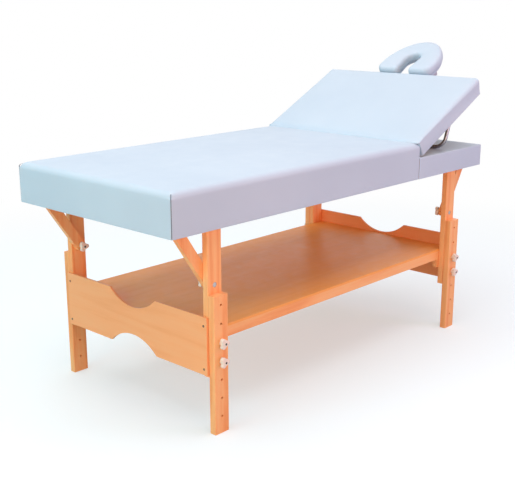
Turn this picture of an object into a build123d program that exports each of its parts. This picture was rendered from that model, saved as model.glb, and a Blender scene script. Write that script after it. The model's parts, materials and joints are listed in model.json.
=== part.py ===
from build123d import *
from math import atan2, cos, degrees, radians, sin
import os

# Massage table with a tilting backrest, a face cradle, a shelf and four telescopic wooden legs.
# X runs from the foot end to the head end, Y across the table, Z up from the floor.
# Left is -Y and right is +Y. Lengths are in millimetres and angles in degrees.
# X is measured from the foot end while the pieces are made. At the end they all move back by half
# the whole length, so the origin lies on the floor under the middle of the part.

# Shared values
overrun = 5.0
touch_gap = 0.3
running_gap = 0.05
sides = (-1, 1)
side_names = {-1: "left", 1: "right"}

# Tabletop
table_length = 1800.0
table_width = 812.0
frame_underside = 703.0
frame_depth = 73.0
deck_thickness = 12.0
deck_vinyl = 2.0
pad_edge_thickness = 59.0
pad_crown = 4.0
pad_side_bow = 2.0
pad_top_radius = 14.0
pad_corner_radius = 12.0
seam_radius = 20.0
skirt_thickness = 5.0
skirt_edge_radius = 4.0
rail_thickness = 22.5
cross_rail_thickness = 22.0
cross_rail_depth = 50.0

# Legs
foot_leg_inset = 171.0
head_leg_inset = 158.0
leg_width = 63.5
leg_edge_radius = 3.0
upper_leg_thickness = 24.0
lower_leg_thickness = 27.0
upper_leg_bottom = 200.0
hole_radius = 4.5
hole_pitch = 65.0
hole_count = 7
bottom_hole_height = 61.0
top_hole_margin = 33.0
clamped_holes = (3, 4)

# Leg bolts and brace bolts with their sunk heads
bolt_radius = 4.0
bolt_head_radius = 8.0
bolt_head_height = 4.0
bolt_sink = 5.0
bolt_sink_gap = 1.0
bolt_tip = 2.0

# Three-lobed knobs
lobe_count = 3
lobe_radius = 8.0
lobe_reach = 12.0
knob_grip = 13.0
knob_waist_radius = 13.0
knob_boss_radius = 9.5
knob_boss = 7.0
knob_rounding = 2.5

# Braces and the blocks that join them to the side rails
brace_width = 38.0
brace_thickness = 20.0
brace_bolt_height = 513.0
brace_top_inset = 74.0
brace_rise = 30.0
brace_block_length = 70.0
brace_end_gap = 3.0

# End panels
panel_thickness = 8.0
panel_bottom = 207.0
panel_height = 202.0
cut_chord = 246.0
cut_depth = 50.0

# Shelf
shelf_top = 353.0
shelf_board_thickness = 9.0
shelf_rail_height = 36.0
shelf_rail_thickness = 18.0
shelf_block_height = 36.0
shelf_block_thickness = 20.0
shelf_block_overhang = 14.0

# Seam and backrest hinges
seam_gap = 4.0
hinge_depth = 20.0
hinge_count = 3
hinge_spacing = 290.0
hinge_width = 60.0
knuckle_radius = 4.5
knuckle_width = 14.5
pin_radius = 2.5
leaf_thickness = 1.5
leaf_clearance = 1.0
pocket_gap = 1.5
seam_batten_width = 30.0
seam_batten_height = 25.0

# Backrest
backrest_tilt = 27.0
backrest_length = 478.0
head_roll = 22.0
head_roll_radius = 9.0
backrest_edge_rise = 3.0
rest_gap = 0.5
backrest_board_thickness = 9.0
batten_height = 22.0
foot_batten_width = 30.0
side_batten_width = 22.0
head_batten_width = 40.0

# Support bail, its saddles on the deck and its racks under the backrest
bail_radius = 8.0
bail_length = 163.0
bail_lean = 20.0
bail_bend_radius = 42.0
bail_leg_inset = 47.0
bail_from_hinge = 243.5
bail_end_margin = 0.5
bail_end_radius = 2.5
peg_radius = 4.0
saddle_width = 22.0
saddle_wall = 2.0
saddle_flange = 12.0
saddle_spread = 400.0
rack_thickness = 14.0
rack_side_gap = 1.0
rack_tooth_gap = 1.1
rack_foot_margin = 16.0
rack_head_margin = 22.0
notch_radius = 5.0
notch_depth = 2.2
notch_pitch = 16.0
notch_count = 5

# Face cradle
cradle_gap = 3.0
cradle_rise = 24.0
cradle_width = 286.0
cradle_length = 252.0
cradle_arm_length = 66.0
cradle_crest_radius = 108.0
cradle_tip_radius = 40.0
slot_radius = 35.0
slot_mouth = 27.0
slot_centre = 102.0
mouth_radius = 18.0
cradle_pad_thickness = 44.0
cradle_pad_radius = 16.0
cradle_pad_bottom_radius = 6.0
cradle_board_thickness = 9.0
cradle_board_inset = 9.0
rod_radius = 5.0
rod_cover = 18.5
rod_spread = 200.0
rod_seat = 100.0
rod_reach = 198.0
rod_travel = 100.0
rod_block_width = 30.0
rod_block_height = 30.0
rod_block_margin = 12.0
clip_width = 14.0
clip_wall = 1.6
clip_flange = 8.0
clip_margin = 12.0

# Heights and places that follow from the sizes above
half_width = table_width / 2
half_seam = seam_gap / 2
deck_underside = frame_underside + frame_depth
deck_top = deck_underside + deck_thickness
cover_top = deck_top + deck_vinyl
pad_edge_top = deck_top + pad_edge_thickness
pad_top = pad_edge_top + pad_crown
rail_outside = half_width - skirt_thickness
rail_inside = rail_outside - rail_thickness
hinge_x = table_length - backrest_length
hinge_z = pad_top - hinge_depth
pad_end = hinge_x - half_seam

upper_outer = rail_inside
upper_inner = upper_outer - upper_leg_thickness
lower_inner = upper_outer + touch_gap
lower_outer = lower_inner + lower_leg_thickness
lower_leg_length = bottom_hole_height + (hole_count - 1) * hole_pitch + top_hole_margin
leg_ranges = {
    "foot": (foot_leg_inset, foot_leg_inset + leg_width),
    "head": (table_length - head_leg_inset - leg_width, table_length - head_leg_inset),
}
leg_centres = {end: sum(limits) / 2 for end, limits in leg_ranges.items()}
brace_tops = {"foot": brace_top_inset, "head": table_length - brace_top_inset}
shelf_range = (leg_ranges["foot"][0], leg_ranges["head"][1])
shelf_rail_top = shelf_top - shelf_board_thickness
shelf_rail_bottom = shelf_rail_top - shelf_rail_height

# Places in the backrest's own frame, which has the hinge axis as its origin
base_under = cover_top + rest_gap - hinge_z
board_under = base_under + batten_height
board_over = board_under + backrest_board_thickness
edge_over = pad_edge_top + backrest_edge_rise - hinge_z
base_start = half_seam + skirt_thickness
base_end = backrest_length - skirt_thickness
head_end = backrest_length + head_roll
cradle_board_under = hinge_depth + cradle_rise - cradle_pad_thickness - touch_gap - cradle_board_thickness
rod_level = cradle_board_under - rod_cover - rod_radius
cradle_start = head_end + cradle_gap
bail_bend_x = hinge_x + bail_from_hinge
bail_level = cover_top + touch_gap + bail_radius
bail_leg_y = half_width - bail_leg_inset
peg_x = bail_from_hinge + bail_length * sin(radians(bail_lean))
peg_z = bail_level - hinge_z + bail_length * cos(radians(bail_lean))
peg_angle = atan2(peg_z, peg_x) - radians(backrest_tilt)
peg_reach = (peg_x ** 2 + peg_z ** 2) ** 0.5
peg_along = peg_reach * cos(peg_angle)
peg_depth = peg_reach * sin(peg_angle)
tooth_level = peg_depth + peg_radius + rack_tooth_gap

pieces = {}


def block(x_range, y_range, z_range):
    low = [min(limits) for limits in (x_range, y_range, z_range)]
    high = [max(limits) for limits in (x_range, y_range, z_range)]
    size = [top - bottom for bottom, top in zip(low, high)]
    middle = [(top + bottom) / 2 for bottom, top in zip(low, high)]
    return Pos(*middle) * Box(*size)


def aside(side, inner, outer):
    return (side * inner, side * outer)


def bore(x, y, z, radius, length):
    return Pos(x, y, z) * Rot(90, 0, 0) * Cylinder(radius, length)


def tilted(shape):
    return Pos(hinge_x, 0, hinge_z) * Rot(0, -backrest_tilt, 0) * shape


def arch(start, end, bottom, edge, crown, bow_start, bow_end, radius_start, radius_end, lean_end=0):
    waist = (bottom + edge) / 2
    foot = (start + bow_start, bottom)
    head = (end - bow_end - lean_end, bottom)
    foot_top = (start + bow_start, edge)
    head_top = (end - bow_end, edge)
    edges = [Line(head, foot)]
    edges.append(ThreePointArc(foot, (start, waist), foot_top) if bow_start else Line(foot, foot_top))
    edges.append(ThreePointArc(foot_top, ((start + end) / 2, edge + crown), head_top))
    edges.append(ThreePointArc(head_top, (end - lean_end / 2, waist), head) if bow_end else Line(head_top, head))
    face = make_face(edges)
    for corner, radius in ((foot_top, radius_start), (head_top, radius_end)):
        face = fillet(face.vertices().sort_by_distance(Vector(*corner, 0))[:1], radius)
    return face


def padded_block(x_range, bottom, edge, crown, bow, foot_radius, head_radius, plan_radii, lean_end=0):
    long_side = arch(*x_range, bottom, edge, crown, *bow, foot_radius, head_radius, lean_end)
    short_side = arch(
        -half_width, half_width, bottom, edge, crown, pad_side_bow, pad_side_bow, pad_top_radius, pad_top_radius
    )
    length = x_range[1] - x_range[0]
    middle = (x_range[0] + x_range[1]) / 2
    plan = Pos(middle, 0) * Rectangle(length, table_width)
    for radius, end in zip(plan_radii, x_range):
        if radius:
            corners = [v for v in plan.vertices() if abs(v.X - end) < overrun]
            plan = fillet(corners, radius)
    rise = edge - bottom + crown
    along_x = Pos(x_range[0], 0, 0) * extrude(Plane.YZ * short_side, length)
    along_y = extrude(Plane.XZ * long_side, half_width, both=True)
    upright = Pos(0, 0, bottom) * extrude(plan, rise)
    return along_x & along_y & upright


def frame_pieces():
    rail_range = (skirt_thickness, table_length - skirt_thickness)
    for side in sides:
        pieces[f"side_rail_{side_names[side]}"] = block(
            rail_range, aside(side, rail_inside, rail_outside), (frame_underside, deck_underside)
        )
    for end, start in (("foot", rail_range[0]), ("head", rail_range[1] - rail_thickness)):
        pieces[f"end_rail_{end}"] = block(
            (start, start + rail_thickness), (-rail_inside, rail_inside), (frame_underside, deck_underside)
        )
    cross_rails = []
    foot_leg_end = leg_ranges["foot"][1]
    head_leg_start = leg_ranges["head"][0] - cross_rail_thickness
    for start in (foot_leg_end, hinge_x - cross_rail_thickness / 2, head_leg_start):
        cross_rails.append(
            block(
                (start, start + cross_rail_thickness),
                (-rail_inside, rail_inside),
                (deck_underside - cross_rail_depth, deck_underside),
            )
        )
    pieces["cross_rails"] = Compound(cross_rails)
    rail_width = (-rail_outside, rail_outside)
    deck_height = (deck_underside, deck_top)
    pieces["deck_foot"] = block((rail_range[0], hinge_x), rail_width, deck_height)
    pieces["deck_head"] = block((hinge_x, rail_range[1]), rail_width, deck_height)
    batten_end = pad_end - skirt_thickness
    batten_height = (deck_top, deck_top + seam_batten_height)
    pieces["seam_batten"] = block((batten_end - seam_batten_width, batten_end), rail_width, batten_height)


def hinge_pockets(direction, face, under, axis_height):
    depth = (face, face - direction * (skirt_thickness + overrun))
    top = axis_height + knuckle_radius + pocket_gap
    reach = hinge_width / 2 + pocket_gap
    return [block(depth, (y - reach, y + reach), (under, top)) for y in hinge_places()]


def hinge_places():
    return [(i - (hinge_count - 1) / 2) * hinge_spacing for i in range(hinge_count)]


def foot_cushion():
    pad = padded_block(
        (0, pad_end),
        frame_underside,
        pad_edge_top,
        pad_crown,
        (pad_side_bow, 0),
        pad_top_radius,
        seam_radius,
        (pad_corner_radius, 0),
    )
    inner = rail_outside + touch_gap
    foot_face = skirt_thickness - touch_gap
    hollow_height = (frame_underside - overrun, deck_top + touch_gap)
    pad -= block((foot_face, pad_end + overrun), (-inner, inner), hollow_height)
    batten_face = pad_end - skirt_thickness + touch_gap
    pad -= block(
        (batten_face - seam_batten_width - 2 * touch_gap, batten_face),
        (-inner, inner),
        (deck_top, deck_top + seam_batten_height + touch_gap),
    )
    for pocket in hinge_pockets(1, pad_end + overrun, deck_top, hinge_z):
        pad -= Pos(-overrun + touch_gap, 0, 0) * pocket
    return pad


def head_cover():
    start = pad_end + touch_gap
    cover = block((start, table_length), (-half_width, half_width), (frame_underside, cover_top))
    upright = cover.edges().filter_by(Axis.Z).group_by(Axis.X)[-1]
    cover = fillet(upright, pad_corner_radius)
    rim = [e for e in cover.faces().sort_by(Axis.Z)[-1].edges() if e.center().X > start + overrun]
    cover = fillet(rim, skirt_edge_radius)
    inner = rail_outside + touch_gap
    head_face = table_length - skirt_thickness + touch_gap
    hollow_height = (frame_underside - overrun, deck_top + touch_gap)
    cover -= block((start - overrun, head_face), (-inner, inner), hollow_height)
    return cover


def leg_pieces():
    for end, x_range in leg_ranges.items():
        for side in sides:
            name = f"{end}_{side_names[side]}"
            upper = block(x_range, aside(side, upper_inner, upper_outer), (upper_leg_bottom, deck_underside))
            upper = fillet(upper.edges().filter_by(Axis.Z), leg_edge_radius)
            middle = side * (upper_inner + upper_outer) / 2
            for index in clamped_holes:
                height = bottom_hole_height + index * hole_pitch
                upper -= bore(leg_centres[end], middle, height, bolt_radius, upper_leg_thickness + overrun)
                upper -= sunk_seat(leg_centres[end], side * upper_inner, height, side)
            bored = upper_leg_thickness + overrun
            upper -= bore(leg_centres[end], middle, brace_bolt_height, bolt_radius, bored)
            upper -= sunk_seat(leg_centres[end], side * upper_outer, brace_bolt_height, -side)
            pieces[f"upper_leg_{name}"] = upper
            lower = block(x_range, aside(side, lower_inner, lower_outer), (0, lower_leg_length))
            lower = fillet(lower.edges().filter_by(Axis.Z), leg_edge_radius)
            middle = side * (lower_inner + lower_outer) / 2
            for index in range(hole_count):
                height = bottom_hole_height + index * hole_pitch
                lower -= bore(leg_centres[end], middle, height, hole_radius, lower_leg_thickness + overrun)
            pieces[f"lower_leg_{name}"] = lower


def sunk_seat(x, face, height, inward):
    middle = face + inward * (bolt_sink - overrun) / 2
    return bore(x, middle, height, bolt_head_radius + bolt_sink_gap, bolt_sink + overrun)


def bolt(x, head_face, height, direction, reach):
    head_middle = head_face + direction * (bolt_sink - bolt_head_height / 2)
    head = bore(x, head_middle, height, bolt_head_radius, bolt_head_height)
    shank_start = head_face + direction * (bolt_sink - bolt_head_height / 2)
    shank_end = head_face + direction * reach
    return head + bore(x, (shank_start + shank_end) / 2, height, bolt_radius, abs(shank_end - shank_start))


def knob(shaft_radius):
    lobes = [
        Rot(0, 0, 360 * i / lobe_count) * Pos(lobe_reach, 0) * Circle(lobe_radius) for i in range(lobe_count)
    ]
    outline = Circle(knob_waist_radius)
    for lobe in lobes:
        outline += lobe
    grip = Pos(0, 0, knob_boss) * extrude(outline, knob_grip)
    rims = grip.faces().sort_by(Axis.Z)
    grip = fillet(rims[-1].edges() + rims[0].edges(), knob_rounding)
    body = grip + Pos(0, 0, knob_boss / 2) * Cylinder(knob_boss_radius, knob_boss)
    height = knob_boss + knob_grip
    if shaft_radius:
        return body - Pos(0, 0, height / 2) * Cylinder(shaft_radius, height + 2 * overrun)
    return body + Pos(0, 0, height) * Cylinder(bolt_radius, 2 * bolt_tip)


def knobs_and_bolts():
    plain = knob(0)
    bored = knob(bolt_radius + running_gap)
    leg_bolts = []
    brace_bolts = []
    knob_height = knob_boss + knob_grip
    for end, x in leg_centres.items():
        for side in sides:
            for index in clamped_holes:
                height = bottom_hole_height + index * hole_pitch
                leg_bolts.append(bolt(x, side * upper_inner, height, side, upper_leg_thickness))
                seat = Pos(x, side * (lower_outer + touch_gap), height) * Rot(-90 * side, 0, 0)
                pieces[f"leg_knob_{end}_{side_names[side]}_{index}"] = seat * plain
            reach = upper_leg_thickness + brace_thickness + touch_gap + knob_height + bolt_tip
            brace_bolts.append(bolt(x, side * upper_outer, brace_bolt_height, -side, reach))
            brace_face = side * (upper_inner - brace_thickness - touch_gap)
            seat = Pos(x, brace_face, brace_bolt_height) * Rot(90 * side, 0, 0)
            pieces[f"brace_knob_{end}_{side_names[side]}"] = seat * bored
    pieces["leg_bolts"] = Compound(leg_bolts)
    pieces["brace_bolts"] = Compound(brace_bolts)


def brace_pieces():
    outer = upper_inner
    inner = upper_inner - brace_thickness
    blocks = []
    for end, x in leg_centres.items():
        run = brace_tops[end] - x
        rise = frame_underside - brace_bolt_height
        top_rise = rise + brace_rise
        length = top_rise * (run ** 2 + rise ** 2) ** 0.5 / rise
        angle = degrees(atan2(run, rise))
        block_start = skirt_thickness + rail_thickness
        block_range = (block_start, block_start + brace_block_length)
        if end == "head":
            block_range = (table_length - block_range[1], table_length - block_range[0])
        outline = Circle(brace_width / 2) + Pos(0, length / 2) * Rectangle(brace_width, length)
        outline = Rot(0, 0, -angle) * outline
        brace = Pos(x, 0, brace_bolt_height) * extrude(Plane.XZ * outline, brace_thickness / 2, both=True)
        stop = skirt_thickness + rail_thickness + brace_end_gap
        beyond = (-table_length, stop) if end == "foot" else (table_length - stop, 2 * table_length)
        brace -= block(beyond, (-brace_thickness, brace_thickness), (0, deck_underside))
        for side in sides:
            middle = side * (outer + inner) / 2
            placed = Pos(0, middle, 0) * brace
            placed -= bore(x, middle, brace_bolt_height, bolt_radius, brace_thickness + overrun)
            pieces[f"brace_{end}_{side_names[side]}"] = placed
            block_side = aside(side, upper_inner, upper_outer)
            blocks.append(block(block_range, block_side, (frame_underside, deck_underside)))
    pieces["brace_blocks"] = Compound(blocks)


def end_panels():
    half_chord = cut_chord / 2
    top = panel_bottom + panel_height
    edges = [
        Line((-upper_outer, panel_bottom), (-half_chord, panel_bottom)),
        ThreePointArc((-half_chord, panel_bottom), (0, panel_bottom + cut_depth), (half_chord, panel_bottom)),
        Line((half_chord, panel_bottom), (upper_outer, panel_bottom)),
        Line((upper_outer, panel_bottom), (upper_outer, top)),
        Line((upper_outer, top), (half_chord, top)),
        ThreePointArc((half_chord, top), (0, top - cut_depth), (-half_chord, top)),
        Line((-half_chord, top), (-upper_outer, top)),
        Line((-upper_outer, top), (-upper_outer, panel_bottom)),
    ]
    panel = extrude(Plane.YZ * make_face(edges), panel_thickness)
    pieces["end_panel_foot"] = Pos(shelf_range[0] - panel_thickness, 0, 0) * panel
    pieces["end_panel_head"] = Pos(shelf_range[1], 0, 0) * panel


def shelf_pieces():
    pieces["shelf_board"] = block(shelf_range, (-upper_inner, upper_inner), (shelf_rail_top, shelf_top))
    for side in sides:
        pieces[f"shelf_rail_{side_names[side]}"] = block(
            shelf_range,
            aside(side, upper_inner - shelf_rail_thickness, upper_inner),
            (shelf_rail_bottom, shelf_rail_top),
        )
    starts = {"foot": leg_ranges["foot"][0], "head": leg_ranges["head"][0] - shelf_block_overhang}
    length = leg_width + shelf_block_overhang
    blocks = []
    for start in starts.values():
        for side in sides:
            blocks.append(
                block(
                    (start, start + length),
                    aside(side, upper_inner - shelf_block_thickness, upper_inner),
                    (shelf_rail_bottom - shelf_block_height, shelf_rail_bottom),
                )
            )
    pieces["shelf_blocks"] = Compound(blocks)


def hinge_leaf(direction, y, centres, hole):
    face = direction * base_start
    plate_face = face - direction * leaf_thickness
    low = base_under + leaf_clearance
    half = hinge_width / 2
    leaf = block((face, plate_face), (y - half, y + half), (low, leaf_thickness / 2))
    for centre in centres:
        start = y + centre - knuckle_width / 2
        strap = block((face, 0), (start, start + knuckle_width), (-leaf_thickness / 2, leaf_thickness / 2))
        leaf = leaf + strap + bore(0, y + centre, 0, knuckle_radius, knuckle_width)
        leaf -= bore(0, y + centre, 0, hole, knuckle_width + running_gap)
    return leaf


def hinge_pieces():
    outer = hinge_width / 2 - knuckle_width / 2
    base_leaves = []
    flap_leaves = []
    pins = []
    for y in hinge_places():
        base = hinge_leaf(-1, y, (-outer, outer), pin_radius)
        flap = hinge_leaf(1, y, (0,), pin_radius + running_gap)
        base_leaves.append(Pos(hinge_x, 0, hinge_z) * base)
        flap_leaves.append(tilted(flap))
        pins.append(bore(hinge_x, y, hinge_z, pin_radius, hinge_width))
    pieces["hinge_base"] = Compound(base_leaves)
    pieces["hinge_flap"] = Compound(flap_leaves)
    pieces["hinge_pins"] = Compound(pins)


def backrest_pieces():
    inner = rail_outside - side_batten_width
    foot_limits = (base_start, base_start + foot_batten_width)
    head_limits = (base_end - head_batten_width, base_end)
    batten_z = (base_under, board_under)
    pieces["backrest_foot_batten"] = tilted(block(foot_limits, (-rail_outside, rail_outside), batten_z))
    head_batten = block(head_limits, (-rail_outside, rail_outside), batten_z)
    for side in sides:
        rod_y = side * rod_spread / 2
        head_batten -= rod_shape(rod_y, rod_radius + running_gap)
        pieces[f"backrest_side_batten_{side_names[side]}"] = tilted(
            block((foot_limits[1], head_limits[0]), aside(side, inner, rail_outside), batten_z)
        )
    pieces["backrest_head_batten"] = tilted(head_batten)
    pieces["backrest_board"] = tilted(
        block((base_start, base_end), (-rail_outside, rail_outside), (board_under, board_over))
    )
    pad = padded_block(
        (half_seam, head_end),
        base_under,
        edge_over,
        pad_crown,
        (0, pad_side_bow),
        seam_radius,
        head_roll_radius,
        (0, pad_corner_radius),
        head_roll - pad_side_bow,
    )
    reach = rail_outside + touch_gap
    pad -= block(
        (base_start - touch_gap, base_end + touch_gap),
        (-reach, reach),
        (base_under - overrun, board_over + touch_gap),
    )
    for pocket in hinge_pockets(-1, half_seam - overrun, base_under - overrun, 0):
        pad -= Pos(overrun - touch_gap, 0, 0) * pocket
    for side in sides:
        pad -= rod_shape(side * rod_spread / 2, rod_radius + touch_gap)
    pieces["backrest_cushion"] = tilted(pad)


def rod_shape(y, radius):
    start = cradle_start - rod_reach
    end = cradle_start + rod_seat
    return Pos((start + end) / 2, y, rod_level) * Rot(0, 90, 0) * Cylinder(radius, end - start)


def support_bail():
    half = bail_leg_y
    straight = half - bail_bend_radius
    diagonal = bail_bend_radius * (1 - cos(radians(45)))
    bend_middle = (half - diagonal, diagonal)
    top = bail_length + peg_radius + bail_end_margin
    left_bend = ThreePointArc((-half, bail_bend_radius), (-bend_middle[0], bend_middle[1]), (-straight, 0))
    right_bend = ThreePointArc((straight, 0), bend_middle, (half, bail_bend_radius))
    path = Wire(
        [
            Line((-half, top), (-half, bail_bend_radius)),
            left_bend,
            Line((-straight, 0), (straight, 0)),
            right_bend,
            Line((half, bail_bend_radius), (half, top)),
        ]
    )
    path = Plane.YZ * path
    tube = sweep(Plane(origin=(0, -half, top), z_dir=(0, 0, -1)) * Circle(bail_radius), path=path)
    ends = [e for e in tube.edges() if e.bounding_box().min.Z > top - bail_end_margin]
    tube = fillet(ends, bail_end_radius)
    for side in sides:
        peg_length = bail_radius + rack_side_gap + rack_thickness
        tube += bore(0, side * (half - peg_length / 2), bail_length, peg_radius, peg_length)
    pieces["support_bail"] = Pos(bail_bend_x, 0, bail_level) * Rot(0, bail_lean, 0) * tube


def strap(inner_radius, height, wall, flange, width):
    outer = inner_radius + wall
    profile = Circle(outer) + Pos(0, -height / 2) * Rectangle(2 * outer, height)
    profile += Pos(0, wall / 2 - height) * Rectangle(2 * (outer + flange), wall)
    mouth = Pos(0, -(height + overrun) / 2) * Rectangle(2 * inner_radius, height + overrun)
    profile -= Circle(inner_radius) + mouth
    return extrude(profile, width / 2, both=True)


def saddle_and_racks():
    saddle = strap(bail_radius + running_gap, bail_radius, saddle_wall, saddle_flange, saddle_width)
    saddle = Rot(90, 0, 0) * saddle
    places = [Pos(bail_bend_x, side * saddle_spread / 2, bail_level) for side in sides]
    pieces["bail_saddles"] = Compound([place * saddle for place in places])
    rack_range = (
        peg_along - rack_foot_margin,
        peg_along + (notch_count - 1) * notch_pitch + rack_head_margin,
    )
    outer = bail_leg_y - bail_radius - rack_side_gap
    racks = []
    for side in sides:
        rack = block(rack_range, aside(side, outer - rack_thickness, outer), (tooth_level, board_under))
        for i in range(notch_count):
            centre_z = tooth_level + notch_depth - notch_radius
            middle = side * (outer - rack_thickness / 2)
            notch_along = peg_along + i * notch_pitch
            rack -= bore(notch_along, middle, centre_z, notch_radius, rack_thickness + overrun)
        racks.append(tilted(rack))
    pieces["bail_racks"] = Compound(racks)


def cradle_outline(inset):
    half = cradle_width / 2 - inset
    tip = inset
    shoulder = cradle_arm_length
    mouth = slot_mouth + inset
    hollow = slot_radius + inset
    turn = atan2(hollow - mouth, slot_centre)
    meet = (slot_centre - hollow * sin(turn), hollow * cos(turn))
    crest_x = cradle_length - cradle_crest_radius
    run = crest_x - shoulder
    spare = cradle_width / 2 - cradle_crest_radius
    flank_radius = (run ** 2 + spare ** 2) / (2 * spare) + cradle_crest_radius
    join_turn = atan2(flank_radius - cradle_width / 2, run)
    flank_turn = (radians(90) + join_turn) / 2
    crest = cradle_crest_radius - inset
    flank = flank_radius - inset
    join = (crest_x + crest * cos(join_turn), crest * sin(join_turn))
    bulge = (shoulder + flank * cos(flank_turn), cradle_width / 2 - flank_radius + flank * sin(flank_turn))
    edges = [ThreePointArc((join[0], -join[1]), (crest_x + crest, 0), join)]
    for side in sides:
        edges.append(Line((tip, side * mouth), (tip, side * half)))
        edges.append(Line((tip, side * half), (shoulder, side * half)))
        flank = (join[0], side * join[1])
        edges.append(ThreePointArc((shoulder, side * half), (bulge[0], side * bulge[1]), flank))
        edges.append(Line((tip, side * mouth), (meet[0], side * meet[1])))
        bend = hollow * cos(radians(45))
        edges.append(
            ThreePointArc(
                (meet[0], side * meet[1]), (slot_centre + bend, side * bend), (slot_centre + hollow, 0)
            )
        )
    face = make_face(edges)
    for y, radius in ((half, cradle_tip_radius - inset), (mouth, mouth_radius - inset)):
        corners = [v for v in face.vertices() if abs(v.X - tip) < touch_gap and abs(abs(v.Y) - y) < touch_gap]
        face = fillet(corners, radius)
    return face


def cradle_pieces():
    top = hinge_depth + cradle_rise
    under = top - cradle_pad_thickness
    sections = []
    for turn in (0, 45, 90):
        inset = cradle_pad_bottom_radius * (1 - sin(radians(turn)))
        height = under + cradle_pad_bottom_radius * (1 - cos(radians(turn)))
        sections.append(Pos(cradle_start, 0, height) * cradle_outline(inset))
    for turn in (0, 30, 60, 90):
        inset = cradle_pad_radius * (1 - cos(radians(turn)))
        height = top - cradle_pad_radius * (1 - sin(radians(turn)))
        sections.append(Pos(cradle_start, 0, height) * cradle_outline(inset))
    pad = loft(sections, ruled=True)
    pieces["cradle_cushion"] = tilted(pad)
    board_z = cradle_board_under
    board = extrude(cradle_outline(cradle_board_inset), cradle_board_thickness)
    pieces["cradle_board"] = tilted(Pos(cradle_start, 0, board_z) * board)
    reach = (cradle_start + rod_block_margin, cradle_start + rod_seat)
    rod_blocks = []
    rods = []
    clips = []
    for side in sides:
        rod_y = side * rod_spread / 2
        limits = (rod_y - rod_block_width / 2, rod_y + rod_block_width / 2)
        rod_block = block(reach, limits, (board_z - rod_block_height, board_z))
        rod_block -= rod_shape(rod_y, rod_radius + running_gap)
        rod_blocks.append(tilted(rod_block))
        rods.append(tilted(rod_shape(rod_y, rod_radius)))
    inner_end = cradle_start - rod_reach
    clip_x = inner_end + rod_travel + clip_margin
    height = board_under - rod_level
    clip = strap(rod_radius + running_gap, height, clip_wall, clip_flange, clip_width)
    clip = Rot(0, 90, 0) * Rot(0, 0, -90) * clip
    for side in sides:
        clips.append(tilted(Pos(clip_x, side * rod_spread / 2, rod_level) * clip))
    pieces["cradle_blocks"] = Compound(rod_blocks)
    pieces["cradle_rods"] = Compound(rods)
    pieces["rod_clips"] = Compound(clips)


def write_parts():
    frame_pieces()
    pieces["foot_cushion"] = foot_cushion()
    pieces["head_cover"] = head_cover()
    leg_pieces()
    knobs_and_bolts()
    brace_pieces()
    end_panels()
    shelf_pieces()
    hinge_pieces()
    backrest_pieces()
    support_bail()
    saddle_and_racks()
    cradle_pieces()
    reach = max(piece.bounding_box().max.X for piece in pieces.values())
    shift = Pos(-reach / 2, 0, 0)
    os.makedirs("parts", exist_ok=True)
    for name, piece in pieces.items():
        export_step(shift * piece, f"parts/{name}.step")
    print("nodes", len(pieces))
    print("shift", -reach / 2)
    print("hinge", hinge_x - reach / 2, hinge_z)
    print("bail", bail_bend_x - reach / 2, bail_level)
    print("leg centres", {end: x - reach / 2 for end, x in leg_centres.items()})
    print("peg in the backrest", peg_along, peg_depth, "teeth", tooth_level)


write_parts()
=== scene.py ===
import bpy
import bmesh
import json
import math
from mathutils import Matrix, Vector


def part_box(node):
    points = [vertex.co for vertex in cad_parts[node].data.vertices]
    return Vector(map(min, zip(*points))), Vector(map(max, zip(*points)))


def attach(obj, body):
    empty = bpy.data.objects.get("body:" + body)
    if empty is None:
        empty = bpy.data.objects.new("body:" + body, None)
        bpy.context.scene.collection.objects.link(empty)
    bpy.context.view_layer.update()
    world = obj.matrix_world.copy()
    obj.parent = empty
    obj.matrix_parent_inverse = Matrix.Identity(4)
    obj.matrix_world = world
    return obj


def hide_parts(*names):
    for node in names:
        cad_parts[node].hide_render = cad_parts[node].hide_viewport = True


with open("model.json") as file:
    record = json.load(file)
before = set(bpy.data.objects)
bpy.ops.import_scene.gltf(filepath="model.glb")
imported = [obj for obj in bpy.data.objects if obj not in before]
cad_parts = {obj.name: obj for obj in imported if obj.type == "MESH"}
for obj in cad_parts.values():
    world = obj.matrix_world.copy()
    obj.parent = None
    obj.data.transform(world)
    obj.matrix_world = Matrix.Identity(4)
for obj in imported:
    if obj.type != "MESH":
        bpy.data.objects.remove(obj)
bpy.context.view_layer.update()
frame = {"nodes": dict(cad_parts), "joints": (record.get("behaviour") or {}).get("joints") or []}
nodes = frame["nodes"]
print("frame loaded:", len(nodes), "nodes")

# Small helpers
def sizeOf(node):
    low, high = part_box(node)
    return Vector(low), Vector(high)


def deselect():
    if bpy.context.object and bpy.context.object.mode != "OBJECT":
        bpy.ops.object.mode_set(mode="OBJECT")
    bpy.ops.object.select_all(action="DESELECT")


def activate(piece):
    deselect()
    piece.select_set(True)
    bpy.context.view_layer.objects.active = piece


def settle(piece):
    activate(piece)
    bpy.ops.object.transform_apply(location=True, rotation=True, scale=True)
    return piece


def applyModifiers(piece):
    activate(piece)
    for modifier in list(piece.modifiers):
        bpy.ops.object.modifier_apply(modifier=modifier.name)


def finishPiece(piece, material, body, smooth=35):
    settle(piece)
    piece.data.materials.clear()
    piece.data.materials.append(material)
    activate(piece)
    bpy.ops.object.shade_smooth_by_angle(angle=math.radians(smooth))
    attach(piece, body)
    return piece


def selectWhere(piece, test, kind):
    # picks edges, faces or points of the mesh by a test on their middle and direction
    activate(piece)
    bpy.ops.object.mode_set(mode="EDIT")
    bpy.ops.mesh.select_mode(type=kind)
    bpy.ops.mesh.select_all(action="DESELECT")
    net = bmesh.from_edit_mesh(piece.data)
    groups = {"VERT": net.verts, "EDGE": net.edges, "FACE": net.faces}
    for item in groups[kind]:
        if test(item):
            item.select_set(True)
    net.select_flush_mode()
    bmesh.update_edit_mesh(piece.data)


def endEdit():
    bpy.ops.object.mode_set(mode="OBJECT")


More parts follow.
